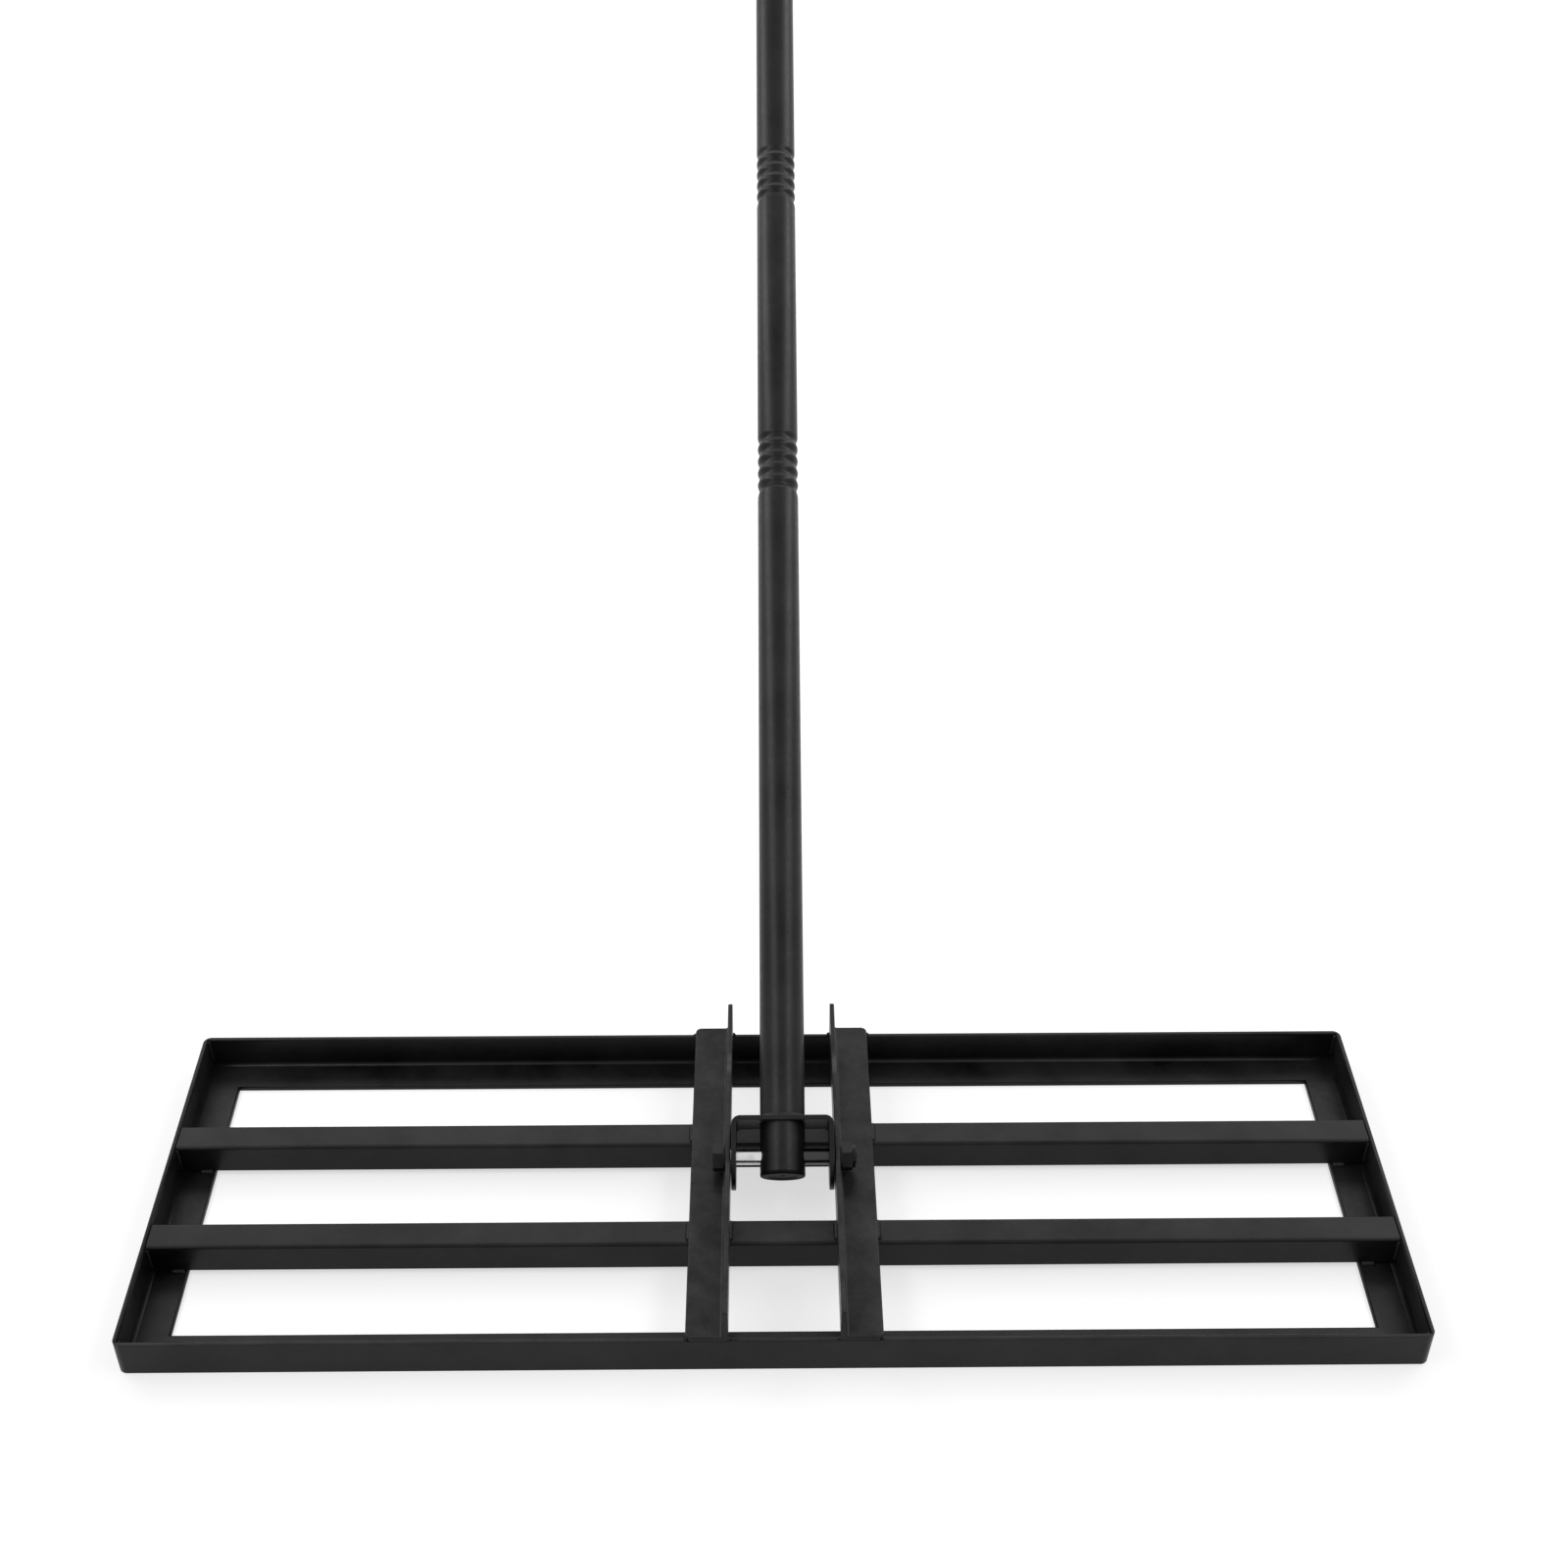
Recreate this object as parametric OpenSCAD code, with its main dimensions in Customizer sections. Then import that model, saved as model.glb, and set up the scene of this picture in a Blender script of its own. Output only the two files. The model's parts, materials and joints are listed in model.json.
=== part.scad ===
// Lawn leveling rake: a welded ground frame of steel angle with two crossbars and two straps,
// and a sectioned pole that swings on a through bolt between the straps.
// X runs along the long rails, +Y to the rear, where the pole leans, and +Z up from the ground.
// The origin is on the ground, in the middle of the front rail's underside.

/* [Frame] */
// Length of the frame along its long rails
frame_w = 762; // [500:1:1000]
// Depth of the frame from its front face to its rear face
frame_d = 254; // [230:1:400]
// Leg width of the rail angle, both legs alike
rail_leg = 25; // [22:0.5:30]
// Thickness of the rail angle
rail_t = 3; // [2.5:0.1:4]
// Radius of the four outer corners of the frame in plan
corner_r = 5; // [3.5:0.1:8]
// Radius in the root of the angle sections
root_r = 2.5; // [1:0.1:3]
// Radius on the toes of the angle sections
toe_r = 1; // [0.4:0.1:1.5]

/* [Crossbars] */
// Width of a crossbar tube
bar_w = 19; // [15:0.5:20]
// Wall of a crossbar tube
bar_wall = 1.5; // [1:0.1:2.5]
// Outer edge radius of a crossbar tube
bar_edge_r = 2; // [1:0.1:3]
// Front crossbar's centre line, ahead of the middle of the frame
front_bar_set = 45; // [40:0.5:60]
// Rear crossbar's centre line, behind the middle of the frame
rear_bar_set = 36; // [36:0.5:60]

/* [Straps] */
// Middle of the straps and of the pole, to the right of the frame's middle
hinge_set = 5.5; // [-20:0.5:20]
// Clear gap between the upright legs of the two straps
strap_gap = 64.5; // [60:0.5:80]
// Leg width of the strap angle, both legs alike
strap_leg = 25; // [25:0.5:30]
// Thickness of the strap angle
strap_t = 3; // [2.5:0.1:4]
// Length of the straps past the frame's rear face
strap_tail = 3; // [0:0.5:6]
// Corner radius of the straps' flat legs in plan
strap_corner_r = 4; // [2:0.5:8]

/* [Pivot] */
// Diameter of the pivot bolt
bolt_d = 10; // [8:0.5:10]
// Pivot axis behind the middle of the frame
pivot_set = 2; // [-6:0.5:2]
// Pivot axis above the rail tops, where the straps sit
pivot_h = 15; // [15:0.5:16]
// Width across the flats of the bolt's head and of the nut
hex_af = 16; // [13:0.5:17]
// Height of the bolt's head
head_h = 6.4; // [5:0.1:8]
// Height of the nut's hexagon
nut_h = 6.2; // [5:0.1:10]
// Height of the nut's locking collar
collar_h = 1.8; // [1:0.1:5]
// Diameter of the nut's locking collar
collar_d = 14; // [12.5:0.1:15]
// Length of bolt that stands out past the nut
bolt_proud = 1; // [1:0.5:8]
// Diameter of a washer
washer_d = 18; // [15:0.1:18]
// Thickness of a washer
washer_t = 1.6; // [1:0.1:2.5]

/* [Clevis] */
// Width of the bent strip
clevis_depth = 32; // [29:0.5:33]
// Thickness of the bent strip
clevis_t = 3; // [2:0.1:4]
// Pivot axis to the inner face of the web, along the pole
clevis_reach = 20; // [14:0.5:20]
// Pivot axis to the round ends of the legs
clevis_toe = 20.5; // [17:0.5:21]
// Inner radius of the two bends
bend_r = 2.5; // [1.5:0.1:5]
// Side gap between a clevis leg and its strap
side_gap = 0.5; // [0.3:0.05:0.8]

/* [Pole] */
// Outer diameter of the pole's tubes
pole_d = 28; // [24:0.5:28]
// Wall of the pole's tubes
pole_wall = 0.8; // [0.6:0.1:1.5]
// Lean of the pole to the rear, from upright
pole_lean = 57; // [0:1:85]
// Length of tube below the pivot axis
pole_tail = 10.5; // [9:0.5:12]
// Pivot axis to the first pole joint
lower_len = 462.5; // [300:0.5:600]
// First pole joint to the second
middle_len = 239; // [150:0.5:600]
// Second pole joint to the top of the pole
upper_len = 698.5; // [300:0.5:750]

/* [Pole joints] */
// Rolled rings at each pole joint
ring_count = 5; // [3:1:8]
// Spacing of the rolled rings along the pole
ring_pitch = 9.4; // [7:0.1:12]
// Depth of the grooves between the rolled rings
ring_depth = 1.1; // [0.5:0.1:1.5]
// Length of the tapered shoulder under a joint
shoulder_len = 5; // [2:0.5:10]

/* [Plugs] */
// Thickness of the foot plug's flange
foot_t = 2.2; // [1.5:0.1:4]
// Length of the foot plug's stem, short of the bolt
foot_stem = 4; // [2:0.1:4]
// Thickness of the end cap's head
cap_t = 6; // [4:0.5:12]
// Length of the end cap's stem
cap_stem = 18; // [8:0.5:30]
// Edge radius of the foot plug
foot_edge_r = 1; // [0.4:0.1:1.4]
// Edge radius of the end cap
cap_edge_r = 3.5; // [1:0.1:4]

/* [Welds and fits] */
// Leg of the frame's weld beads
bead_leg = 2; // [1:0.1:2]
// Leg of the ring weld between the pole and the clevis
ring_weld_leg = 2; // [1:0.1:2]
// Radial clearance of the bolt in the clevis and the pole
run_fit = 0.05; // [0.02:0.01:0.1]
// Radial clearance of the bolt in the straps and washers
hole_fit = 0.25; // [0.1:0.05:0.5]
// Radial clearance between nested tubes, plugs and threads
seat_fit = 0.05; // [0.02:0.01:0.1]

/* [Hidden] */
$fn = 64;
// Length that cuts run past the faces they open
overrun = 1;
// Points along one rolled ring
ring_steps = 10;
// Slope of the chamfers on the head and the nut
chamfer_slope = 30;
// Chamfer on the bolt's tip
tip_chamfer = 1;
coat = "#1d1d1e";
zinc = "#b9bcc0";
plastic = "#141415";

front_y = -rail_leg / 2;
mid_y = front_y + frame_d / 2;
rear_y = front_y + frame_d;
bar_h = rail_leg - rail_t;
front_bar_y = mid_y - front_bar_set;
rear_bar_y = mid_y + rear_bar_set;
pivot_y = mid_y + pivot_set;
pivot_z = rail_leg + pivot_h;
bolt_r = bolt_d / 2;
pole_r = pole_d / 2;
strap_face = strap_gap / 2 + strap_t;
bolt_seat = strap_face + washer_t;
clevis_w = strap_gap - 2 * side_gap;
web_top = clevis_reach + clevis_t;
first_joint = lower_len;
second_joint = first_joint + middle_len;
pole_top = second_joint + upper_len;
socket_r = pole_r - pole_wall - seat_fit;

// Depth of the rolled wave at a height above the tube's edge
function ring_dip(z) = ring_depth * (1 + cos(360 * z / ring_pitch)) / 2;
// Outline of a rolled joint on a tube of radius r, upward from a groove at height base to the last crest
function rolled_edge(r, base) =
    [for (i = [0 : (2 * ring_count - 1) * ring_steps / 2])
        let (z = i * ring_pitch / ring_steps) [r - ring_dip(z), base + z]];
// The same points from the top down
function reversed(points) = [for (i = [len(points) - 1 : -1 : 0]) points[i]];

// Waste outside a rounded corner whose point is at the origin, with the material at -x, -y
module corner_waste(r) {
    if (r > 0) difference() {
        translate([-r, -r]) square(r + overrun);
        translate([-r, -r]) circle(r);
    }
}

module rounded_rect(w, h, r) {
    difference() {
        square([w, h], center = true);
        for (sx = [0, 1], sy = [0, 1])
            mirror([sx, 0, 0]) mirror([0, sy, 0]) translate([w / 2, h / 2]) corner_waste(r);
    }
}

// Equal angle with its outer corner at the origin and its legs along +x and +y
module angle_section(leg, t) {
    difference() {
        union() {
            square([leg, t]);
            square([t, leg]);
            translate([t, t]) square(root_r);
        }
        translate([t + root_r, t + root_r]) circle(root_r);
        translate([leg, t]) corner_waste(toe_r);
        mirror([1, -1, 0]) translate([leg, t]) corner_waste(toe_r);
    }
}

// Length of angle with mitred ends, its outer face on y = 0 and its flange on the ground
module rail(length) {
    half = length / 2;
    intersection() {
        rotate([90, 0, 90]) linear_extrude(height = length, center = true) angle_section(rail_leg, rail_t);
        linear_extrude(height = rail_leg)
            polygon([[-half, 0], [half, 0], [half - rail_leg, rail_leg], [rail_leg - half, rail_leg]]);
    }
}

// Rounds the frame's outer corners on a rail that is in its place
module in_frame_outline() {
    intersection() {
        children();
        translate([0, mid_y, 0]) linear_extrude(height = rail_leg) rounded_rect(frame_w, frame_d, corner_r);
    }
}

module front_rail() {
    color(coat) in_frame_outline() translate([0, front_y, 0]) rail(frame_w);
}

module rear_rail() {
    color(coat) in_frame_outline() translate([0, rear_y, 0]) rotate(180) rail(frame_w);
}

module left_rail() {
    color(coat) in_frame_outline() translate([-frame_w / 2, mid_y, 0]) rotate(-90) rail(frame_d);
}

module right_rail() {
    color(coat) in_frame_outline() translate([frame_w / 2, mid_y, 0]) rotate(90) rail(frame_d);
}

// Tube between the side rails, on their flanges and flush with their tops
module crossbar(y) {
    bar_len = frame_w - 2 * rail_t;
    bore_r = max(bar_edge_r - bar_wall, 0);
    translate([0, y, rail_t + bar_h / 2]) difference() {
        rotate([90, 0, 90]) linear_extrude(height = bar_len, center = true) difference() {
            rounded_rect(bar_w, bar_h, bar_edge_r);
            rounded_rect(bar_w - 2 * bar_wall, bar_h - 2 * bar_wall, bore_r);
        }
        // The lower ends are coped to clear the roots of the side rails
        for (side = [-1, 1])
            translate([side * bar_len / 2, 0, -bar_h / 2]) rotate([90, 0, 0])
                cylinder(h = bar_w + 2 * overrun, r = root_r, center = true, $fn = 4);
    }
}

module front_crossbar() {
    color(coat) crossbar(front_bar_y);
}

module rear_crossbar() {
    color(coat) crossbar(rear_bar_y);
}

// Places a piece that is drawn about X = 0 on the middle of the straps
module on_hinge() {
    translate([hinge_set, 0, 0]) children();
}

// Right-hand strap: flat leg outward on the rail tops, upright leg inside with the bolt hole
module strap() {
    half = (frame_d + strap_tail) / 2;
    translate([strap_gap / 2, front_y + half, rail_leg]) difference() {
        rotate([90, 0, 0]) linear_extrude(height = 2 * half, center = true) angle_section(strap_leg, strap_t);
        translate([0, pivot_set - strap_tail / 2, pivot_h]) rotate([0, 90, 0])
            cylinder(h = 2 * (strap_t + overrun), r = bolt_r + hole_fit, center = true);
        for (end = [0, 1])
            mirror([0, end, 0]) translate([strap_leg, half, -overrun])
                linear_extrude(height = strap_t + 2 * overrun) corner_waste(strap_corner_r);
    }
}

module left_strap() {
    color(coat) on_hinge() mirror([1, 0, 0]) strap();
}

module right_strap() {
    color(coat) on_hinge() strap();
}

// Convex weld bead along +z, in the corner between the faces x = 0 and y = 0
module bead(length) {
    linear_extrude(height = length) intersection() {
        square(bead_leg);
        circle(bead_leg);
    }
}

// One bead up each inside corner of the frame
module corner_welds() {
    color(coat) for (sx = [0, 1], sy = [0, 1])
        translate([0, mid_y, rail_t + root_r]) mirror([sx, 0, 0]) mirror([0, sy, 0])
            translate([rail_t - frame_w / 2, rail_t - frame_d / 2, 0]) bead(bar_h - root_r - toe_r);
}

// Two beads up each end of each crossbar, against the side rails
module crossbar_welds() {
    low = max(root_r, bar_edge_r);
    high = bar_h - max(toe_r, bar_edge_r);
    color(coat) for (y = [front_bar_y, rear_bar_y], sx = [0, 1], sy = [0, 1])
        translate([0, y, rail_t + low]) mirror([sx, 0, 0]) mirror([0, sy, 0])
            translate([rail_t - frame_w / 2, bar_w / 2, 0]) bead(high - low);
}

// Beads along both edges of a strap, on a flat of this length centred at y
module strap_beads(y, flat) {
    for (edge = [0, 1])
        translate([strap_gap / 2 + strap_leg / 2, y + flat / 2, rail_leg]) mirror([edge, 0, 0])
            translate([strap_leg / 2, 0, 0]) rotate([90, 0, 0]) bead(flat);
}

module strap_welds() {
    rail_flat = rail_t - toe_r;
    bar_flat = bar_w - 2 * bar_edge_r;
    // On the rails only the inner edge has beads, because the outer corners are rounded off
    color(coat) on_hinge() for (side = [0, 1]) mirror([side, 0, 0]) {
        strap_beads(front_bar_y, bar_flat);
        strap_beads(rear_bar_y, bar_flat);
        for (y = [front_y + rail_flat / 2, rear_y - rail_flat / 2])
            translate([strap_gap / 2, y + rail_flat / 2, rail_leg]) mirror([1, 0, 0]) rotate([90, 0, 0])
                bead(rail_flat);
    }
}

// Places a piece that is drawn along +z on the pivot axis, which runs along X
module on_pivot() {
    translate([hinge_set, pivot_y, pivot_z]) rotate([0, 90, 0]) children();
}

// Hexagon with its outer face chamfered, upward from z = 0
module hexagon(height) {
    intersection() {
        rotate(30) cylinder(h = height, r = hex_af / 2 / cos(30), $fn = 6);
        cylinder(h = height, r1 = hex_af / 2 + height / tan(chamfer_slope), r2 = hex_af / 2);
    }
}

module pivot_bolt() {
    tip = bolt_seat + nut_h + collar_h + bolt_proud;
    color(zinc) on_pivot() {
        translate([0, 0, -bolt_seat]) mirror([0, 0, 1]) hexagon(head_h);
        translate([0, 0, -bolt_seat]) cylinder(h = bolt_seat + tip - tip_chamfer, r = bolt_r);
        translate([0, 0, tip - tip_chamfer]) cylinder(h = tip_chamfer, r1 = bolt_r, r2 = bolt_r - tip_chamfer);
    }
}

module bolt_washers() {
    color(coat) on_pivot() for (side = [0, 1]) mirror([0, 0, side]) translate([0, 0, strap_face])
        difference() {
            cylinder(h = washer_t, d = washer_d);
            translate([0, 0, -overrun]) cylinder(h = washer_t + 2 * overrun, r = bolt_r + hole_fit);
        }
}

module lock_nut() {
    color(coat) on_pivot() translate([0, 0, bolt_seat]) difference() {
        union() {
            hexagon(nut_h);
            cylinder(h = nut_h + collar_h, d = collar_d);
        }
        translate([0, 0, -overrun])
            cylinder(h = nut_h + collar_h + 2 * overrun, r = bolt_r + seat_fit);
    }
}

// Places a piece that is drawn along +z from the pivot on the leaning pole
module along_pole() {
    translate([hinge_set, pivot_y, pivot_z]) rotate([-pole_lean, 0, 0]) children();
}

// Upright block with rounded upper corners, for the bent strip's outer and inner outlines
module bent_outline(w, low, high, r) {
    difference() {
        translate([-w / 2, low]) square([w, high - low]);
        for (side = [0, 1]) mirror([side, 0, 0]) translate([w / 2, high]) corner_waste(r);
    }
}

// Strip bent to a U, with round leg ends, bolt holes and a hole for the pole in its web
module clevis() {
    half = clevis_depth / 2;
    toe_mid = half - clevis_toe;
    color(coat) along_pole() difference() {
        intersection() {
            rotate([90, 0, 0]) linear_extrude(height = clevis_depth, center = true) difference() {
                bent_outline(clevis_w, -clevis_toe, web_top, bend_r + clevis_t);
                bent_outline(clevis_w - 2 * clevis_t, -clevis_toe - overrun, clevis_reach, bend_r);
            }
            rotate([90, 0, 90]) linear_extrude(height = clevis_w + 2 * overrun, center = true) union() {
                translate([0, toe_mid]) circle(half);
                translate([-half, toe_mid]) square([clevis_depth, web_top - toe_mid]);
            }
        }
        rotate([0, 90, 0]) cylinder(h = clevis_w + 2 * overrun, r = bolt_r + run_fit, center = true);
        cylinder(h = web_top + overrun, r = pole_r + seat_fit);
    }
}

module clevis_weld() {
    color(coat) along_pole() translate([0, 0, web_top]) rotate_extrude() translate([pole_r, 0]) intersection() {
        square(ring_weld_leg);
        circle(ring_weld_leg);
    }
}

// Tube from one height to another, with rolled rings over the spigot below it
// and its own necked spigot into the tube above, where it has a neighbour; the other ends are plain
module pole_tube(low, high, rolled, necked) {
    outer_low = rolled ? rolled_edge(pole_r, low) : [[pole_r, low]];
    shoulder = [[pole_r, high - shoulder_len], [pole_r - ring_depth, high]];
    outer_high = necked ? concat(shoulder, rolled_edge(socket_r, high)) : [[pole_r, high]];
    outer = concat(outer_low, outer_high);
    bore_neck = necked ? rolled_edge(socket_r - pole_wall, high) : [[pole_r - pole_wall, high]];
    bore_shoulder = necked ? [[pole_r - pole_wall, high - shoulder_len]] : [];
    bore_low = rolled ? rolled_edge(pole_r - pole_wall, low) : [[pole_r - pole_wall, low]];
    rotate_extrude() polygon(concat(outer, reversed(concat(bore_low, bore_shoulder, bore_neck))));
}

module lower_pole() {
    color(coat) along_pole() difference() {
        pole_tube(-pole_tail, first_joint, false, true);
        rotate([0, 90, 0]) cylinder(h = pole_d + 2 * overrun, r = bolt_r + run_fit, center = true);
    }
}

module middle_pole() {
    color(coat) along_pole() pole_tube(first_joint, second_joint, true, true);
}

module upper_pole() {
    color(coat) along_pole() pole_tube(second_joint, pole_top, true, false);
}

// Plug with a stem below z = 0 and a round-edged head above it
module tube_plug(stem, head, edge_r) {
    rotate_extrude() union() {
        translate([0, -stem]) square([socket_r, stem]);
        difference() {
            square([pole_r, head]);
            translate([pole_r, head]) corner_waste(edge_r);
        }
    }
}

module foot_plug() {
    color(plastic) along_pole() translate([0, 0, -pole_tail]) mirror([0, 0, 1])
        tube_plug(foot_stem, foot_t, foot_edge_r);
}

module end_cap() {
    color(plastic) along_pole() translate([0, 0, pole_top]) tube_plug(cap_stem, cap_t, cap_edge_r);
}

front_rail();
rear_rail();
left_rail();
right_rail();
front_crossbar();
rear_crossbar();
left_strap();
right_strap();
corner_welds();
crossbar_welds();
strap_welds();
pivot_bolt();
bolt_washers();
lock_nut();
clevis();
clevis_weld();
lower_pole();
middle_pole();
upper_pole();
foot_plug();
end_cap();
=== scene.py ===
import json
import math

import bmesh
import bpy
from mathutils import Matrix, Vector


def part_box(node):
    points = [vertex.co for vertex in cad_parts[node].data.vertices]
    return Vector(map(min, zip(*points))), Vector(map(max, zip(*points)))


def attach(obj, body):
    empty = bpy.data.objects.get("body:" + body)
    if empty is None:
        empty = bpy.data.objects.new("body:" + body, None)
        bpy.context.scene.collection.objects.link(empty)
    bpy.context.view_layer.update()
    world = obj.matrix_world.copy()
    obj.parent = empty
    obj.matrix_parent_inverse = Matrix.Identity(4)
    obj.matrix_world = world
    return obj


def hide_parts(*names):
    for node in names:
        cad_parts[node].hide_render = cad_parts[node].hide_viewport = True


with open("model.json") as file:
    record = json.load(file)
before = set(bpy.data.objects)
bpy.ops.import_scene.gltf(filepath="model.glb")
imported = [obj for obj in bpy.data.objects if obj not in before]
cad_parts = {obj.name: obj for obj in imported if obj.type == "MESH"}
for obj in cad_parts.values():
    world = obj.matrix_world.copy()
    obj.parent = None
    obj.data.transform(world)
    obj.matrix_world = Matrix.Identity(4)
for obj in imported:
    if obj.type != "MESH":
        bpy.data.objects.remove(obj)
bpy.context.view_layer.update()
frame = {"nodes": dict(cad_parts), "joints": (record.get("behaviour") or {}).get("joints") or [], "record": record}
mm = 0.001
mergeGap = 0.002 * mm
axes = [Vector((1, 0, 0)), Vector((0, 1, 0)), Vector((0, 0, 1))]
right, rear, up = axes

# The bolt's middle, and the pole's line and radius at rest
pivot = Vector(frame["joints"][0]["pos_m"])
shaft = next(mount for mount in frame["record"]["mounts"] if mount["name"] == "handle_shaft")
poleDir = Vector(shaft["axis"]).normalized()
poleRadius = shaft["dims"]["r_mm"] * mm
print("frame loaded:", len(frame["nodes"]), "nodes")


# Materials

def newMaterial(name):
    material = bpy.data.materials.new(name)
    material.use_nodes = True
    return material, material.node_tree, material.node_tree.nodes["Principled BSDF"]


def objectNoise(tree, scale, detail, rough=0.5):
    coord = tree.nodes.new("ShaderNodeTexCoord")
    noise = tree.nodes.new("ShaderNodeTexNoise")
    noise.inputs["Scale"].default_value = scale
    noise.inputs["Detail"].default_value = detail
    noise.inputs["Roughness"].default_value = rough
    tree.links.new(coord.outputs["Object"], noise.inputs["Vector"])
    return noise.outputs["Fac"]


# Stretches a span of values to a result, and holds what lies outside at its ends
def spread(tree, value, span, result=(0, 1)):
    stretch = tree.nodes.new("ShaderNodeMapRange")
    stretch.inputs["From Min"].default_value, stretch.inputs["From Max"].default_value = span
    stretch.inputs["To Min"].default_value, stretch.inputs["To Max"].default_value = result
    tree.links.new(value, stretch.inputs["Value"])
    return stretch.outputs["Result"]


# Mixes two colours, each a tuple or a node's output
def colourMix(tree, factor, first, second):
    mix = tree.nodes.new("ShaderNodeMix")
    mix.data_type = "RGBA"
    tree.links.new(factor, mix.inputs["Factor"])
    sockets = [socket for socket in mix.inputs if socket.type == "RGBA"]
    for socket, colour in zip(sockets, (first, second)):
        if isinstance(colour, tuple):
            socket.default_value = colour + (1,)
        else:
            tree.links.new(colour, socket)
    return next(socket for socket in mix.outputs if socket.type == "RGBA")


def combine(tree, kind, first, second):
    node = tree.nodes.new("ShaderNodeMath")
    node.operation = kind
    node.use_clamp = True
    tree.links.new(first, node.inputs[0])
    tree.links.new(second, node.inputs[1])
    return node.outputs["Value"]


def bumpFrom(tree, shader, height, strength, distance):
    bump = tree.nodes.new("ShaderNodeBump")
    bump.inputs["Strength"].default_value = strength
    bump.inputs["Distance"].default_value = distance
    tree.links.new(height, bump.inputs["Height"])
    tree.links.new(bump.outputs["Normal"], shader.inputs["Normal"])


patchFade = (0.5, 1.0)   # shares of its reach between which a patch fades out


# One inside the ellipsoid round a point, falling to zero at its skin
def patchMask(tree, centre, reach):
    coord = tree.nodes.new("ShaderNodeTexCoord")
    shift = tree.nodes.new("ShaderNodeVectorMath")
    shift.operation = "SUBTRACT"
    shift.inputs[1].default_value = centre
    shrink = tree.nodes.new("ShaderNodeVectorMath")
    shrink.operation = "DIVIDE"
    shrink.inputs[1].default_value = reach
    away = tree.nodes.new("ShaderNodeVectorMath")
    away.operation = "LENGTH"
    tree.links.new(coord.outputs["Object"], shift.inputs[0])
    tree.links.new(shift.outputs["Vector"], shrink.inputs[0])
    tree.links.new(shrink.outputs["Vector"], away.inputs[0])
    return spread(tree, away.outputs["Value"], patchFade, (1, 0))


coatLook = {
    "deep": (0.0014, 0.0014, 0.0016),
    "pale": (0.0130, 0.0130, 0.0132),
    "mottleScale": 24,
    "mottleSpan": (0.32, 0.68),
    # Tone and spread of the painted highlights on the straps' inner edges
    "highlightTone": (0.070, 0.068, 0.066),
    "highlightSpan": (0.35, 0.6),
    "highlightLeast": 0.2,
    "gloss": 0.165,
    "roughness": (0.30, 0.42),
    "speckScale": 260,
    "speckSpan": (0.3, 0.7),
    "peelScale": 620,
    "peelStrength": 0.35,
    "peelDepth": 0.09 * mm,
}

# The straps' coat is blotchier than the rest
strapLook = {
    **coatLook,
    "deep": (0.0006, 0.0006, 0.0007),
    "pale": (0.0250, 0.0250, 0.0252),
    "mottleScale": 55,
    "gloss": 0.135,
}


def powderCoat(name, look, highlights=()):
    material, tree, shader = newMaterial(name)
    mottle = objectNoise(tree, look["mottleScale"], detail=5, rough=0.6)
    speck = objectNoise(tree, look["speckScale"], detail=3, rough=0.6)
    shade = colourMix(tree, spread(tree, mottle, look["mottleSpan"]), look["deep"], look["pale"])
    # Each patch paints a pale highlight on the coat, broken up by the speck noise
    for centre, reach in highlights:
        speckled = spread(tree, speck, look["highlightSpan"], (look["highlightLeast"], 1))
        highlit = combine(tree, "MULTIPLY", patchMask(tree, centre, reach), speckled)
        shade = colourMix(tree, highlit, shade, look["highlightTone"])
    tree.links.new(shade, shader.inputs["Base Color"])
    shader.inputs["Specular IOR Level"].default_value = look["gloss"]
    tree.links.new(spread(tree, speck, look["speckSpan"], look["roughness"]), shader.inputs["Roughness"])
    peel = objectNoise(tree, look["peelScale"], detail=2)
    bumpFrom(tree, shader, peel, look["peelStrength"], look["peelDepth"])
    return material


zincLook = {
    "bright": (0.66, 0.66, 0.65),
    "dull": (0.50, 0.50, 0.51),
    "bloomScale": 160,
    "bloomSpan": (0.35, 0.7),
    # Painted shade: the tone the shank darkens to on the nut's side
    "shadedTone": (0.050, 0.050, 0.050),
    "litSpot": 21.5 * mm,   # from the pole's middle towards the bolt's head
    "litReach": (30 * mm, 30 * mm, 30 * mm),
    "roughness": (0.16, 0.26),
    "roughSpan": (0.3, 0.7),
}


def zincPlate(name, look):
    material, tree, shader = newMaterial(name)
    bloom = objectNoise(tree, look["bloomScale"], detail=3)
    plate = colourMix(tree, spread(tree, bloom, look["bloomSpan"]), look["bright"], look["dull"])
    # Painted shade: the shank turns dark towards the nut's side, outside a patch round the head's side
    lit = patchMask(tree, pivot - right * look["litSpot"], look["litReach"])
    tree.links.new(colourMix(tree, lit, look["shadedTone"], plate), shader.inputs["Base Color"])
    tree.links.new(spread(tree, bloom, look["roughSpan"], look["roughness"]), shader.inputs["Roughness"])
    shader.inputs["Metallic"].default_value = 1
    return material


plasticLook = {
    "deep": (0.0026, 0.0026, 0.0026),
    "pale": (0.0060, 0.0060, 0.0060),
    "cloudScale": 40,
    "cloudSpan": (0.3, 0.7),
    "gloss": 0.04,
    "roughness": (0.45, 0.62),
    "grainScale": 1400,
    "grainSpan": (0.3, 0.7),
    "grainStrength": 0.3,
    "grainDepth": 0.06 * mm,
}


def mouldedPlastic(name, look):
    material, tree, shader = newMaterial(name)
    cloud = objectNoise(tree, look["cloudScale"], detail=3)
    grain = objectNoise(tree, look["grainScale"], detail=2)
    shade = colourMix(tree, spread(tree, cloud, look["cloudSpan"]), look["deep"], look["pale"])
    tree.links.new(shade, shader.inputs["Base Color"])
    shader.inputs["Specular IOR Level"].default_value = look["gloss"]
    tree.links.new(spread(tree, grain, look["grainSpan"], look["roughness"]), shader.inputs["Roughness"])
    bumpFrom(tree, shader, grain, look["grainStrength"], look["grainDepth"])
    return material
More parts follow.
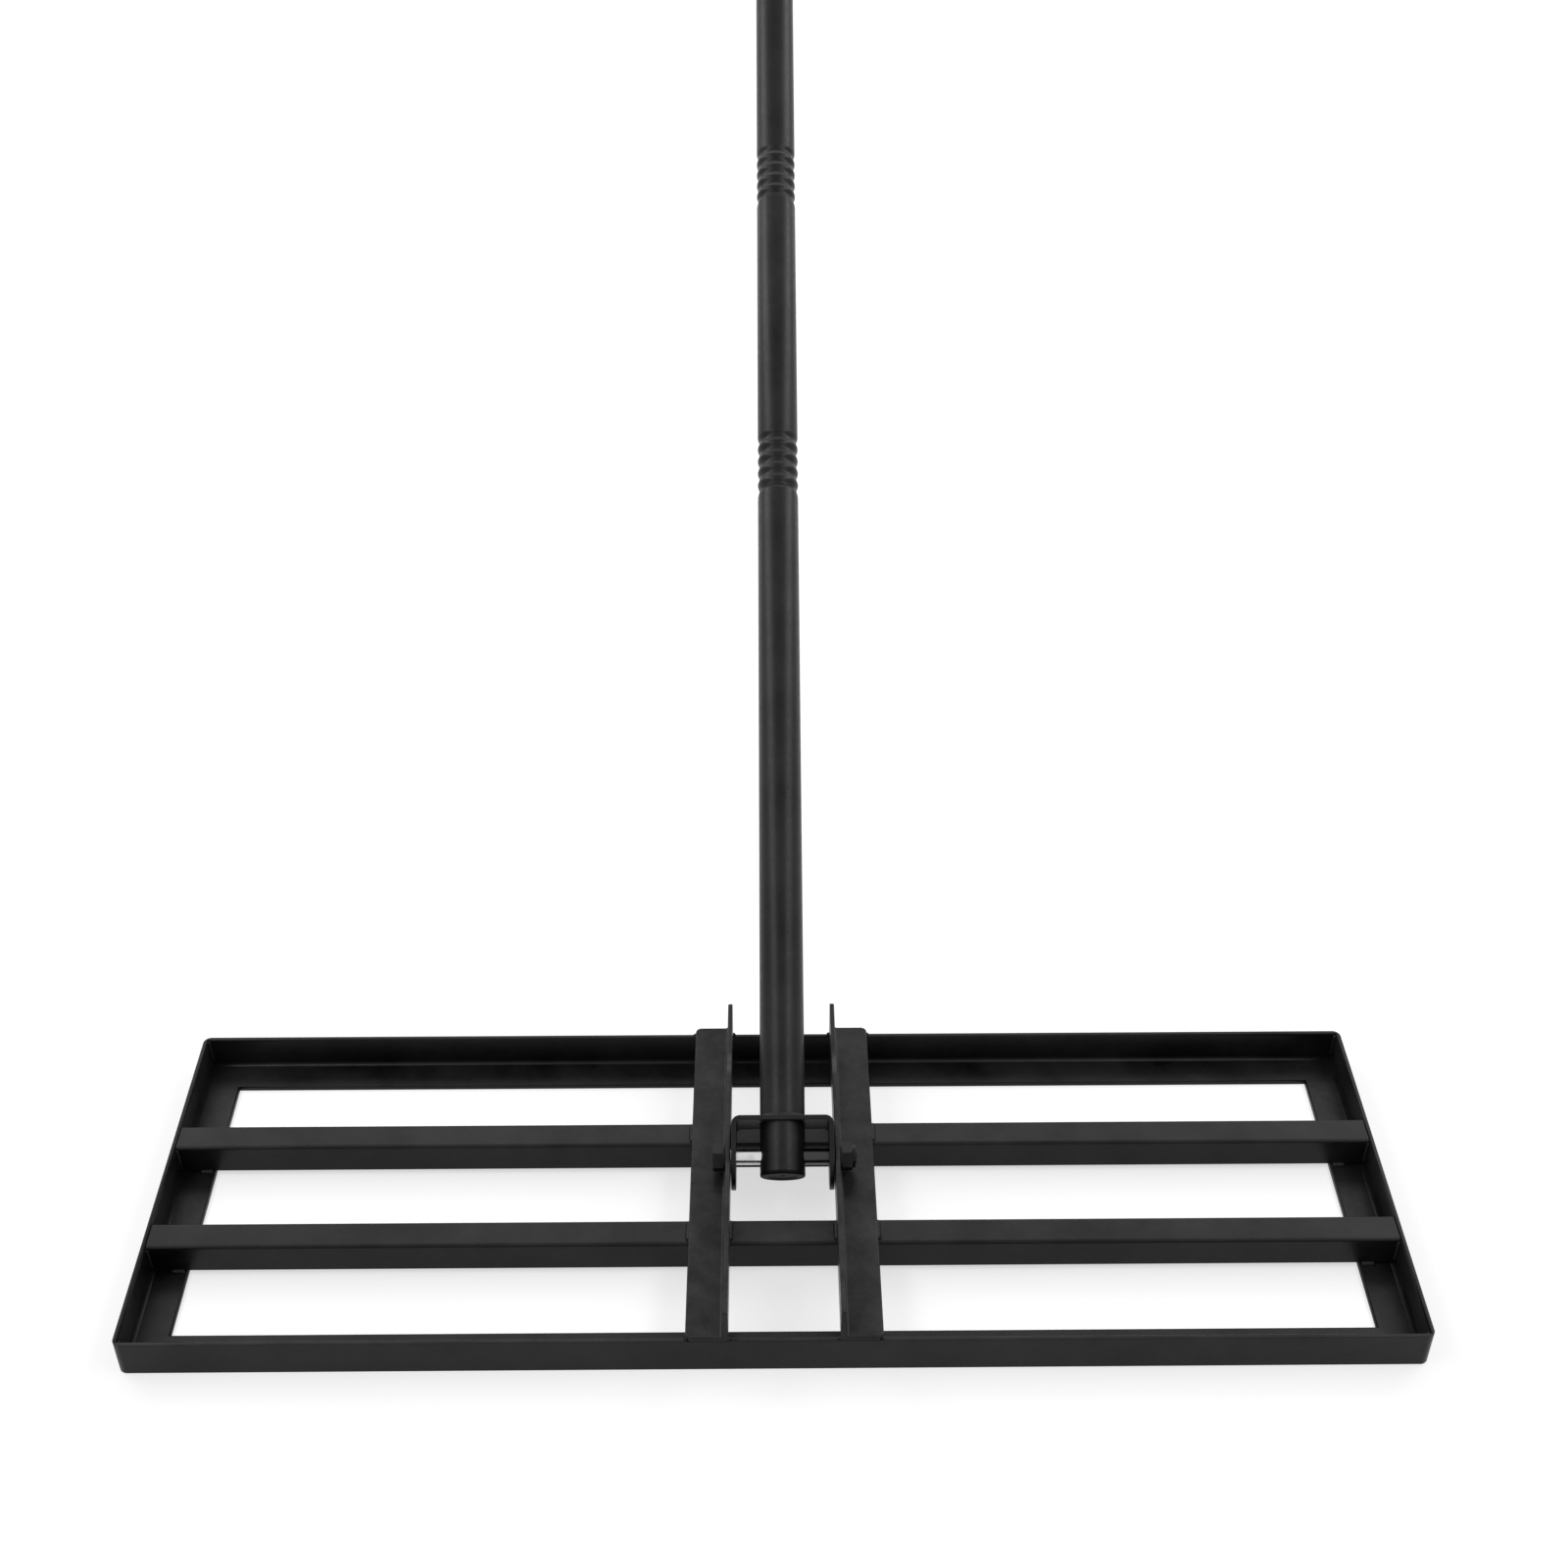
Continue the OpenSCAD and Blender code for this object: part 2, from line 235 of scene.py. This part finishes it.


# Painted highlights: pale patches on the straps' inner edges, behind the pivot
highlightShape = {"side": 33.5 * mm, "behind": 71.5 * mm, "above": 10 * mm, "reach": (3.5 * mm, 11 * mm, 4 * mm)}
strapHighlights = []
for way in (-1, 1):
    spot = pivot + right * way * highlightShape["side"] + rear * highlightShape["behind"] + up * highlightShape["above"]
    strapHighlights.append((spot, highlightShape["reach"]))

coat = powderCoat("powderCoat", coatLook)
strapCoat = powderCoat("strapCoat", strapLook, strapHighlights)
zinc = zincPlate("zincPlate", zincLook)
plastic = mouldedPlastic("mouldedPlastic", plasticLook)
print("materials ready")


# Shapes

meshShape = {
    "flatAngle": 0.5,     # degrees up to which two faces become one
    "creaseAngle": 28,    # degrees from which an edge is softened
    "softSteps": 2,
    "normalWeight": 60,
}


def mergedCopy(node, flatten=True):
    bm = bmesh.new()
    bm.from_mesh(frame["nodes"][node].data)
    bmesh.ops.remove_doubles(bm, verts=bm.verts, dist=mergeGap)
    if flatten:
        flat = math.radians(meshShape["flatAngle"])
        bmesh.ops.dissolve_limit(bm, angle_limit=flat, verts=bm.verts, edges=bm.edges)
    return bm


# Rounds off the sharp edges, apart from those that leaveSharp picks out
def softenEdges(bm, width, leaveSharp=None, clamped=True):
    crease = math.radians(meshShape["creaseAngle"])
    edges = [edge for edge in bm.edges if len(edge.link_faces) == 2 and edge.calc_face_angle() > crease]
    if leaveSharp:
        edges = [edge for edge in edges if not leaveSharp(edge)]
    bmesh.ops.bevel(bm, geom=edges, offset=width, offset_type="OFFSET", segments=meshShape["softSteps"],
                    profile=0.5, affect="EDGES", material=-1, clamp_overlap=clamped)


def finishPiece(name, bm, material, body, nodes=(), sharpAngle=40, weighted=True):
    mesh = bpy.data.meshes.new(name)
    bm.to_mesh(mesh)
    bm.free()
    mesh.shade_smooth()
    mesh.set_sharp_from_angle(angle=math.radians(sharpAngle))
    mesh.materials.append(material)
    piece = bpy.data.objects.new(name, mesh)
    bpy.context.scene.collection.objects.link(piece)
    if weighted:
        normals = piece.modifiers.new("weightedNormals", "WEIGHTED_NORMAL")
        normals.keep_sharp = True
        normals.weight = meshShape["normalWeight"]
    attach(piece, body)
    if nodes:
        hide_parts(*nodes)


# A coated piece with a node's own shape and softened edges
def softPiece(node, ending, width, body, material=coat, sharpAngle=40, leaveSharp=None, clamped=True):
    bm = mergedCopy(node)
    softenEdges(bm, width, leaveSharp, clamped)
    finishPiece(node + ending, bm, material, body, [node], sharpAngle)


# Turns a profile of (radius, height) pairs round the pole's line; a ring's profile closes on itself
def spinProfile(profile, steps, ring=False):
    bm = bmesh.new()
    side = poleDir.orthogonal().normalized()
    verts = [bm.verts.new(pivot + side * radius + poleDir * height) for radius, height in profile]
    following = verts[1:] + verts[:1] if ring else verts[1:]
    edges = [bm.edges.new(pair) for pair in zip(verts, following)]
    bmesh.ops.spin(bm, geom=verts + edges, cent=pivot, axis=poleDir, angle=math.tau, steps=steps,
                   use_merge=True)
    bmesh.ops.remove_doubles(bm, verts=bm.verts, dist=mergeGap)
    bmesh.ops.recalc_face_normals(bm, faces=bm.faces)
    return bm


# Extrudes a closed ring of points from row to row, each row a matrix that places the ring
def sweepRows(bm, ring, rows, capped):
    verts = [bm.verts.new(rows[0] @ point) for point in ring]
    edges = [bm.edges.new((verts[i - 1], verts[i])) for i in range(len(verts))]
    first = list(verts)
    for row in rows[1:]:
        grown = bmesh.ops.extrude_edge_only(bm, edges=edges)["geom"]
        place = {}
        for vert in [part for part in grown if isinstance(part, bmesh.types.BMVert)]:
            before = next(edge.other_vert(vert) for edge in vert.link_edges if edge.other_vert(vert) in verts)
            place[before] = vert
        verts = [place[vert] for vert in verts]
        edges = [bm.edges.get((verts[i - 1], verts[i])) for i in range(len(verts))]
        for vert, point in zip(verts, ring):
            vert.co = row @ point
    if capped:
        bmesh.ops.contextual_create(bm, geom=first)
        bmesh.ops.contextual_create(bm, geom=verts)


# Weld beads

beadShape = {
    "ripple": 1.5 * mm,
    "rippleDepth": 0.13,
    "rowsPerRipple": 5,
    "leastRows": 8,
    "drift": 0.06,
    "driftLength": 2.7 * mm,
    "driftPhase": 3,
    "endRun": 1.2 * mm,
    "endSize": 0.45,
    "lead": 0.45 * mm,
    "sink": 0.15,          # share of the leg by which the root lies in the metal
    "arcSteps": 7,
    "phaseStep": 1.7,
    "placeDigits": 5,      # places count as equal within 0.01 mm
    "sharpAngle": 60,
}


# Quarter-round ring of points, its crown leaning ahead as a drawn weld pool does
def beadRing(leg):
    steps, lead = beadShape["arcSteps"], beadShape["lead"]
    turns = [math.pi / 2 * i / steps for i in range(steps + 1)]
    root = -beadShape["sink"] * leg
    ring = [Vector((root, root, 0))]
    for turn in turns:
        ring.append(Vector((leg * math.cos(turn), leg * math.sin(turn), lead * math.sin(2 * turn))))
    return ring


def rippled(turn):
    return 1 - beadShape["rippleDepth"] * (1 + math.cos(turn)) / 2


# Size of a bead's section a distance along it: rippled, drifting, and rounded off at both ends
def beadSwell(along, length, phase):
    ripple = rippled(math.tau * along / beadShape["ripple"] + phase)
    driftTurn = along / beadShape["driftLength"] + beadShape["driftPhase"] * phase
    drift = 1 + beadShape["drift"] * math.sin(driftTurn)
    fromEnd = min(along, length - along) / min(beadShape["endRun"], length / 2)
    rounding = math.sqrt(max(0, min(1, fromEnd)))
    return ripple * drift * (beadShape["endSize"] + (1 - beadShape["endSize"]) * rounding)


# A bead that starts at root and runs along a line, with a leg on each of the two faces it joins
def straightBead(bm, root, legs, along, leg, length, phase):
    count = max(beadShape["leastRows"], round(length / beadShape["ripple"] * beadShape["rowsPerRipple"]))
    turn = Matrix((*legs, along)).transposed().to_4x4()
    rows = []
    for i in range(count + 1):
        at = length * i / count
        size = beadSwell(at, length, phase)
        rows.append(Matrix.Translation(root + along * at) @ turn @ Matrix.Diagonal((size, size, 1, 1)))
    sweepRows(bm, beadRing(leg), rows, capped=True)


def placeOrder(bead):
    return tuple(round(place, beadShape["placeDigits"]) for place in bead[0])


# Lowest corner, highest corner and points of each bead of a weld node, in order of place
def beadsOf(node):
    bm = mergedCopy(node)
    beads = []
    unread = set(bm.verts)
    while unread:
        island, fresh = set(), [unread.pop()]
        while fresh:
            vert = fresh.pop()
            island.add(vert)
            near = [edge.other_vert(vert) for edge in vert.link_edges if edge.other_vert(vert) in unread]
            unread.difference_update(near)
            fresh += near
        points = [vert.co.copy() for vert in island]
        low = Vector(min(point[axis] for point in points) for axis in range(3))
        high = Vector(max(point[axis] for point in points) for axis in range(3))
        beads.append((low, high, points))
    bm.free()
    return sorted(beads, key=placeOrder)


# The section has points at three of its box's corners; this finds the one that has none
def bareCorner(points, sides, ends):
    def gap(corner):
        spot = [end[pick] for end, pick in zip(ends, corner)]
        return min(math.hypot(*(point[side] - place for side, place in zip(sides, spot))) for point in points)
    return max([(first, second) for first in (0, 1) for second in (0, 1)], key=gap)


# Rippled beads in the places of a weld node's plain ones; run is the axis that they run along
def traceBeads(bm, node, run):
    sides = [axis for axis in range(3) if axis != run]
    for number, (low, high, points) in enumerate(beadsOf(node)):
        ends = [(low[side], high[side]) for side in sides]
        speckled = bareCorner(points, sides, ends)
        root, legs = Vector(), []
        root[run] = low[run]
        for side, end, pick in zip(sides, ends, speckled):
            root[side] = end[1 - pick]
            legs.append(axes[side] if pick else -axes[side])
        leg = ends[0][1] - ends[0][0]
        straightBead(bm, root, legs, axes[run], leg, high[run] - low[run], beadShape["phaseStep"] * number)


# Ground frame

railShape = {"soften": 0.35 * mm, "mitreGap": 0.02 * mm}
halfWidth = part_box("right_rail")[1].x
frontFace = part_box("front_rail")[0].y
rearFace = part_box("rear_rail")[1].y


# The mitres stay sharp, so that the corners close
def onMitre(edge):
    def off(vert):
        inset = halfWidth - abs(vert.co.x)
        return min(abs(inset - (vert.co.y - frontFace)), abs(inset - (rearFace - vert.co.y)))
    return all(off(vert) < railShape["mitreGap"] for vert in edge.verts)


for node in ("front_rail", "rear_rail", "left_rail", "right_rail"):
    softPiece(node, "_angle", railShape["soften"], "frame", leaveSharp=onMitre)
print("rails done")

barShape = {"soften": 0.3 * mm}
for node in ("front_crossbar", "rear_crossbar"):
    softPiece(node, "_tube", barShape["soften"], "frame")

strapShape = {"soften": 0.5 * mm}
for node in ("left_strap", "right_strap"):
    softPiece(node, "_angle", strapShape["soften"], "frame", material=strapCoat, clamped=False)
print("crossbars and straps done")

weldRuns = {"corner_welds": "z", "crossbar_welds": "z", "strap_welds": "y"}
for node, run in weldRuns.items():
    bm = bmesh.new()
    traceBeads(bm, node, "xyz".index(run))
    bmesh.ops.recalc_face_normals(bm, faces=bm.faces)
    finishPiece(node + "_beads", bm, coat, "frame", [node],
                sharpAngle=beadShape["sharpAngle"], weighted=False)

tackShape = {"leg": 2.2 * mm, "run": 8 * mm, "inset": 1.5 * mm, "phaseStep": 2.1}


# Short runs beside the crossbars' ends, on the side rails' flanges
def crossbarTacks(bm):
    leg, run = tackShape["leg"], tackShape["run"]
    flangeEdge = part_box("right_rail")[0].x
    for number, node in enumerate(("front_crossbar", "rear_crossbar")):
        low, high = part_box(node)
        for side in (-1, 1):
            for face, out in ((low.y, -1), (high.y, 1)):
                root = Vector((side * (flangeEdge + tackShape["inset"]), face, low.z))
                phase = tackShape["phaseStep"] * number + side + out
                straightBead(bm, root, (rear * out, up), right * side, leg, run, phase)


strapTackShape = {
    "leg": 1.8 * mm,
    "run": 2.6 * mm,
    "frontGap": 0.3 * mm,
    "frontInset": 1.1 * mm,
    "rearGap": 0.2 * mm,
}


# Tacks at the ends of the straps' outer edges, the front one reaching in under the rounded corner
def strapTacks(bm):
    leg, run = strapTackShape["leg"], strapTackShape["run"]
    starts = (
        (frontFace + strapTackShape["frontGap"], strapTackShape["frontInset"]),
        (rearFace - strapTackShape["rearGap"] - run, 0),
    )
    for node, side in (("left_strap", -1), ("right_strap", 1)):
        low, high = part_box(node)
        outer = low.x if side < 0 else high.x
        for start, inset in starts:
            root = Vector((outer - side * inset, start, low.z))
            straightBead(bm, root, (right * side, up), rear, leg, run, outer / mm)


bm = bmesh.new()
crossbarTacks(bm)
strapTacks(bm)
bmesh.ops.recalc_face_normals(bm, faces=bm.faces)
finishPiece("tack_beads", bm, coat, "frame", sharpAngle=beadShape["sharpAngle"], weighted=False)
print("weld beads done")


# Pivot

boltShape = {
    "soften": 0.35 * mm,
    "radius": 5 * mm,
    "head": 6.4 * mm,
    "stub": 0.8 * mm,        # shank left on the head, inside the washer
    "seatSlack": 0.05 * mm,
    "thread": 7 * mm,
    "pitch": 1.5 * mm,
    "depth": 0.75 * mm,
    "form": ((0, 0), (0.12, 0), (0.45, 1), (0.6, 1)),   # shares of the pitch and of the depth
    "spareTurns": 2,
    "turnSteps": 40,
    "tip": 1.1 * mm,
    "threadMerge": 0.005 * mm,
    "sharpAngle": 35,
}
low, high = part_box("pivot_bolt")
boltTip = high.x
headSeat = low.x + boltShape["head"]
headCut = headSeat + boltShape["stub"]
threadStart = boltTip - boltShape["thread"]


# Cuts the bolt across at x and closes the cut; a way of 1 keeps what is to the right, -1 what is to the left
def cutBolt(bm, x, way):
    bmesh.ops.bisect_plane(bm, geom=bm.verts[:] + bm.edges[:] + bm.faces[:], plane_co=(x, 0, 0),
                           plane_no=(-way, 0, 0), clear_outer=True)
    bmesh.ops.holes_fill(bm, edges=[edge for edge in bm.edges if edge.is_boundary], sides=0)


def behindHead(edge):
    return all(vert.co.x > headSeat - boltShape["seatSlack"] for vert in edge.verts)


# One zigzag, turned once while it moves on by a pitch, then tapered to the tip and cut to length
def boltThread():
    bm = bmesh.new()
    pitch, spare = boltShape["pitch"], boltShape["spareTurns"]
    verts = []
    for turn in range(round(boltShape["thread"] / pitch) + spare):
        for share, drop in boltShape["form"]:
            x = threadStart + (turn - spare + share) * pitch
            height = boltShape["radius"] - drop * boltShape["depth"]
            verts.append(bm.verts.new((x, pivot.y, pivot.z + height)))
    edges = [bm.edges.new(pair) for pair in zip(verts, verts[1:])]
    steps = boltShape["turnSteps"]
    bmesh.ops.spin(bm, geom=verts + edges, cent=pivot, axis=right, dvec=right * pitch / steps,
                   angle=math.tau, steps=steps)
    bmesh.ops.remove_doubles(bm, verts=bm.verts, dist=boltShape["threadMerge"])
    for vert in bm.verts:
        room = boltShape["radius"] - boltShape["tip"] + (boltTip - vert.co.x)
        out = Vector((0, vert.co.y - pivot.y, vert.co.z - pivot.z))
        if out.length > room > 0:
            vert.co = Vector((vert.co.x, pivot.y, pivot.z)) + out * (room / out.length)
    cutBolt(bm, threadStart, 1)
    cutBolt(bm, boltTip, -1)
    bmesh.ops.recalc_face_normals(bm, faces=bm.faces)
    return bm


def joinMesh(bm, other):
    mesh = bpy.data.meshes.new("joined")
    other.to_mesh(mesh)
    other.free()
    bm.from_mesh(mesh)
    bpy.data.meshes.remove(mesh)


bm = mergedCopy("pivot_bolt")
cutBolt(bm, headCut, 1)
cutBolt(bm, threadStart, -1)
finishPiece("pivot_bolt_shank", bm, zinc, "frame", ["pivot_bolt"], sharpAngle=boltShape["sharpAngle"])

# The head and the tip took the coat with the frame
bm = mergedCopy("pivot_bolt")
cutBolt(bm, headCut, -1)
softenEdges(bm, boltShape["soften"], behindHead)
joinMesh(bm, boltThread())
finishPiece("pivot_bolt_ends", bm, coat, "frame", sharpAngle=boltShape["sharpAngle"])

nutShape = {"soften": 0.3 * mm, "sharpAngle": 35}
softPiece("lock_nut", "_coated", nutShape["soften"], "frame", sharpAngle=nutShape["sharpAngle"])

washerShape = {"soften": 0.25 * mm, "sharpAngle": 35}
softPiece("bolt_washers", "_coated", washerShape["soften"], "frame", sharpAngle=washerShape["sharpAngle"])

clevisShape = {"soften": 0.5 * mm}
softPiece("clevis", "_bracket", clevisShape["soften"], "handle", clamped=False)

ringShape = {"leg": 2 * mm, "height": 23 * mm, "ripples": 44, "drift": 0.05, "driftWaves": 5}


# Ring bead between the pole and the clevis
def ringBead():
    bm = bmesh.new()
    middle = pivot + poleDir * ringShape["height"]
    count = ringShape["ripples"] * beadShape["rowsPerRipple"]
    rows = []
    for i in range(count + 1):
        turn = math.tau * i / count
        out = Matrix.Rotation(turn, 3, poleDir) @ right
        drift = ringShape["drift"] * math.sin(ringShape["driftWaves"] * turn)
        size = rippled(ringShape["ripples"] * turn) + drift
        base = Matrix((out, poleDir, poleDir.cross(out))).transposed().to_4x4()
        root = middle + out * poleRadius
        rows.append(Matrix.Translation(root) @ base @ Matrix.Diagonal((size, size, 1, 1)))
    sweepRows(bm, beadRing(ringShape["leg"]), rows, capped=False)
    bmesh.ops.remove_doubles(bm, verts=bm.verts, dist=mergeGap)
    bmesh.ops.recalc_face_normals(bm, faces=bm.faces)
    return bm


finishPiece("clevis_ring_bead", ringBead(), coat, "handle", ["clevis_weld"],
            sharpAngle=beadShape["sharpAngle"], weighted=False)
print("pivot done")


# Pole, with heights from the bolt along its line

tubeShape = {
    "wall": 0.8 * mm,
    "fit": 0.05 * mm,
    "joints": (462.5 * mm, 701.5 * mm),
    "top": 1400 * mm,
    "rings": 5,
    "pitch": 9.4 * mm,
    "groove": 1.1 * mm,
    "shoulder": 5 * mm,
    "pointsPerRing": 16,
    "roundSteps": 96,
    "lowerSharpAngle": 32,
}
boreRadius = poleRadius - tubeShape["wall"]
spigotRadius = boreRadius - tubeShape["fit"]
firstJoint, secondJoint = tubeShape["joints"]


# Rolled rings upward from a groove, to the last crest
def rolledRings(radius, base):
    pitch, perRing = tubeShape["pitch"], tubeShape["pointsPerRing"]
    count = (2 * tubeShape["rings"] - 1) * perRing // 2
    heights = [i * pitch / perRing for i in range(count + 1)]
    dips = [tubeShape["groove"] * (1 + math.cos(math.tau * height / pitch)) / 2 for height in heights]
    return [(radius - dip, base + height) for dip, height in zip(dips, heights)]


# A necked tube ends in a shoulder and a spigot with rings of its own, which sits in the next tube's
def poleTube(low, high, necked):
    outer, inner = rolledRings(poleRadius, low), rolledRings(boreRadius, low)
    if necked:
        shoulder = high - tubeShape["shoulder"]
        outer += [(poleRadius, shoulder), (poleRadius - tubeShape["groove"], high)]
        outer += rolledRings(spigotRadius, high)
        inner += [(boreRadius, shoulder)] + rolledRings(spigotRadius - tubeShape["wall"], high)
    else:
        outer.append((poleRadius, high))
        inner.append((boreRadius, high))
    return spinProfile(outer + inner[::-1], tubeShape["roundSteps"], ring=True)


# The lower tube has the bolt's hole, so it is the solid itself with smooth walls
finishPiece("lower_pole_tube", mergedCopy("lower_pole", flatten=False), coat, "handle",
            ["lower_pole"], sharpAngle=tubeShape["lowerSharpAngle"], weighted=False)
finishPiece("middle_pole_tube", poleTube(firstJoint, secondJoint, necked=True), coat, "handle",
            ["middle_pole"], weighted=False)
finishPiece("upper_pole_tube", poleTube(secondJoint, tubeShape["top"], necked=False), coat, "handle",
            ["upper_pole"], weighted=False)

plugShape = {"cornerSteps": 5, "roundSteps": 72, "sharpAngle": 35}
cornerTurns = [math.pi / 2 * i / plugShape["cornerSteps"] for i in range(plugShape["cornerSteps"] + 1)]
stemRadius = spigotRadius   # a stem fits its tube as a spigot does

footShape = {
    "face": -12.7 * mm,
    "edge": 1 * mm,
    "flange": 2.2 * mm,
    "stem": 4 * mm,
    "leadWidth": 0.5 * mm,
    "leadRun": 0.6 * mm,
    # Radius and depth in mm, from the pip in the middle to the face
    "recess": ((0, 0.5), (1.3, 0.45), (1.6, 0.7), (8.6, 0.7), (9.4, 0.15), (9.9, 0)),
}


def footPlug():
    face, edge = footShape["face"], footShape["edge"]
    seat = face + footShape["flange"]
    stemEnd = seat + footShape["stem"]
    profile = [(radius * mm, face + depth * mm) for radius, depth in footShape["recess"]]
    for turn in cornerTurns:
        profile.append((poleRadius - edge + edge * math.sin(turn), face + edge * (1 - math.cos(turn))))
    profile += [(poleRadius, seat), (stemRadius, seat), (stemRadius, stemEnd - footShape["leadRun"])]
    profile += [(stemRadius - footShape["leadWidth"], stemEnd), (0, stemEnd)]
    return spinProfile(profile, plugShape["roundSteps"])


capShape = {
    "head": 6 * mm,
    "edge": 3.5 * mm,
    "stem": 18 * mm,
    "leadWidth": 1.1 * mm,
    "leadRun": 1.2 * mm,
    "ribs": (4 * mm, 9 * mm, 14 * mm),
    "ribHeight": 0.35 * mm,
    "ribRise": 0.8 * mm,
    "ribFall": 1.6 * mm,
    # Radius and depth in mm, from the crown to the pip in the middle
    "recess": ((7.5, 0), (7.0, 0.4), (1.6, 0.4), (1.3, 0.1), (0, 0.05)),
}


def endCap():
    seat, edge = tubeShape["top"], capShape["edge"]
    crown = seat + capShape["head"]
    stemEnd = seat - capShape["stem"]
    core = stemRadius - capShape["ribHeight"]
    profile = [(0, stemEnd), (stemRadius - capShape["leadWidth"], stemEnd)]
    profile.append((core, stemEnd + capShape["leadRun"]))
    for rib in capShape["ribs"]:
        crest = stemEnd + rib
        profile += [(core, crest - capShape["ribRise"]), (stemRadius, crest)]
        profile.append((core, crest + capShape["ribFall"]))
    profile += [(core, seat), (poleRadius, seat)]
    for turn in cornerTurns:
        profile.append((poleRadius - edge + edge * math.cos(turn), crown - edge + edge * math.sin(turn)))
    profile += [(radius * mm, crown - depth * mm) for radius, depth in capShape["recess"]]
    return spinProfile(profile, plugShape["roundSteps"])


finishPiece("foot_plug_moulding", footPlug(), plastic, "handle", ["foot_plug"],
            sharpAngle=plugShape["sharpAngle"])
finishPiece("end_cap_moulding", endCap(), plastic, "handle", ["end_cap"],
            sharpAngle=plugShape["sharpAngle"])
print("pole done")


# Floor, light and camera

# One for the rays that show the background: from the camera, in a reflection or through a clear piece
def seenRays(tree):
    path = tree.nodes.new("ShaderNodeLightPath")
    direct = combine(tree, "MAXIMUM", path.outputs["Is Camera Ray"], path.outputs["Is Transmission Ray"])
    return combine(tree, "MAXIMUM", direct, path.outputs["Is Glossy Ray"])


floorLook = {
    "size": 30,
    "drop": 0.3 * mm,
    "pale": (0.40, 0.40, 0.40),
    "paler": (0.43, 0.43, 0.43),
    "cloudScale": 3,
    "roughness": 0.9,
    "gloss": 0.1,
    "glow": 0.64,
    "farGlow": 0.95,          # away from the lamps, so that the floor is as white there
    "middle": (0, 0.6, 0),
    "reach": (4.0, 4.0, 4.0),
}
bm = bmesh.new()
bmesh.ops.create_grid(bm, x_segments=2, y_segments=2, size=floorLook["size"])
bmesh.ops.translate(bm, verts=bm.verts, vec=-up * floorLook["drop"])
floorMesh = bpy.data.meshes.new("floor")
bm.to_mesh(floorMesh)
bm.free()
floor = bpy.data.objects.new("floor", floorMesh)
bpy.context.scene.collection.objects.link(floor)
material, tree, shader = newMaterial("paleFloor")
shader.inputs["Roughness"].default_value = floorLook["roughness"]
shader.inputs["Specular IOR Level"].default_value = floorLook["gloss"]
cloud = objectNoise(tree, floorLook["cloudScale"], detail=2)
tree.links.new(colourMix(tree, cloud, floorLook["pale"], floorLook["paler"]), shader.inputs["Base Color"])
shader.inputs["Emission Color"].default_value = (1, 1, 1, 1)
seen = seenRays(tree)
near = patchMask(tree, floorLook["middle"], floorLook["reach"])
glow = spread(tree, near, (0, 1), (floorLook["farGlow"], floorLook["glow"]))
tree.links.new(combine(tree, "MULTIPLY", glow, seen), shader.inputs["Emission Strength"])
floorMesh.materials.append(material)

worldLook = {"fill": (0.30, 0.30, 0.30), "seen": (1.0, 1.0, 1.0)}
world = bpy.data.worlds.new("studio")
bpy.context.scene.world = world
world.use_nodes = True
tree = world.node_tree
backdrop = tree.nodes["Background"]
shade = colourMix(tree, seenRays(tree), worldLook["fill"], worldLook["seen"])
tree.links.new(shade, backdrop.inputs["Color"])

# Two long boxes fall to the rear beside the pole, and a wide one stands behind the frame
sideBox = {"aim": (0, 0.3, 0.2), "along": (0, 0.88, -0.47), "wide": 0.8, "long": 3.7, "watts": 39}
rearBox = {"aim": (0, 0.2, 0.1), "along": (1, 0, 0), "wide": 2.2, "long": 4.0, "watts": 36}
lampSet = {
    "leftBox": {"at": (-1.7, 0.6, 1.96), **sideBox},
    "rightBox": {"at": (1.7, 0.6, 1.96), **sideBox},
    "rearBox": {"at": (0, 3.2, 2.7), **rearBox},
}
for name, lamp in lampSet.items():
    light = bpy.data.lights.new(name, "AREA")
    light.shape = "RECTANGLE"
    light.size, light.size_y, light.energy = lamp["wide"], lamp["long"], lamp["watts"]
    back = (Vector(lamp["at"]) - Vector(lamp["aim"])).normalized()
    across = Vector(lamp["along"]).cross(back).normalized()
    turn = Matrix((across, back.cross(across), back)).transposed()
    holder = bpy.data.objects.new(name, light)
    holder.location = lamp["at"]
    holder.rotation_euler = turn.to_euler()
    bpy.context.scene.collection.objects.link(holder)

# Fitted to the frame's edges in the photo; down and turn are degrees, and turn counts to the left
cameraView = {
    "at": (-0.001435, -0.781983, 0.999612),
    "down": 36.7724,
    "turn": -0.4952,
    "lens": 47.968,
    "sensor": 36,
    "clip": (0.01, 100),
}
eye = bpy.data.cameras.new("photoView")
eye.lens, eye.sensor_width, eye.sensor_fit = cameraView["lens"], cameraView["sensor"], "HORIZONTAL"
eye.clip_start, eye.clip_end = cameraView["clip"]
camera = bpy.data.objects.new("photoView", eye)
camera.location = cameraView["at"]
camera.rotation_euler = (math.radians(90 - cameraView["down"]), 0, math.radians(cameraView["turn"]))
bpy.context.scene.collection.objects.link(camera)
bpy.context.scene.camera = camera
bpy.context.scene.view_settings.view_transform = "Standard"
print("light and camera ready")
